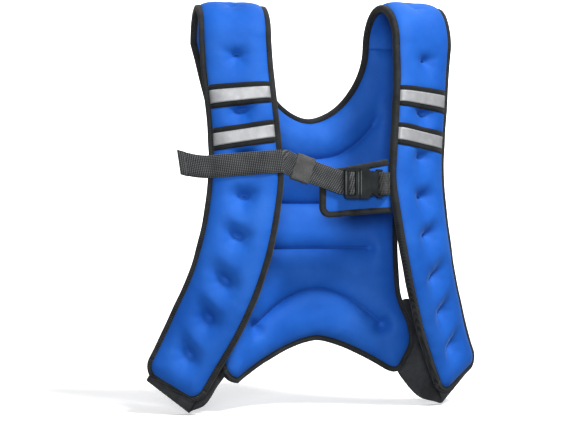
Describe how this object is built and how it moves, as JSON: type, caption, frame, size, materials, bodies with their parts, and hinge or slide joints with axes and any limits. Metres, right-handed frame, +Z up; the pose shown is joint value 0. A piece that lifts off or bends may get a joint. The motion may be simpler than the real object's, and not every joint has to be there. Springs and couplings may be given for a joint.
{
  "type": "weighted vest",
  "caption": "Padded blue weighted vest with black bound edges, reflective bands on both front pads, a buckled chest strap and black stretch side bands.",
  "frame": {"origin": "on the middle plane at the level of the shoulder arches' undersides, halfway between front and back of the arches", "axes": "+Z up, -Y towards the front of the vest, +X towards the wearer's left"},
  "size_m": [0.398, 0.1273, 0.4695],
  "materials": {
    "cloth": "matt stretch knit over a padded core",
    "binding": "matt folded tape",
    "band": "matt stretch knit",
    "tape": "matt woven tape",
    "silver": "reflective grey film on cloth",
    "webbing": "ribbed woven webbing",
    "elastic": "flat elastic",
    "plastic": "moulded, slightly shiny"
  },
  "bodies": {
    "root": {"back_panel": "cloth", "neck_binding": "binding", "hem_binding": "binding", "front_pad_left": "cloth", "armhole_binding_left": "binding", "pad_end_binding_left": "binding", "side_band_left": "band", "upper_tape_left": "tape", "upper_silver_left": "silver", "lower_tape_left": "tape", "lower_silver_left": "silver", "front_pad_right": "cloth", "armhole_binding_right": "binding", "pad_end_binding_right": "binding", "side_band_right": "band", "upper_tape_right": "tape", "upper_silver_right": "silver", "lower_tape_right": "tape", "lower_silver_right": "silver", "chest_strap": "webbing", "buckle_webbing": "webbing", "buckle_flap": "cloth", "flap_binding": "binding", "buckle_ladder": "plastic", "buckle_housing": "plastic", "strap_keeper": "elastic"}
  },
  "joints": []
}
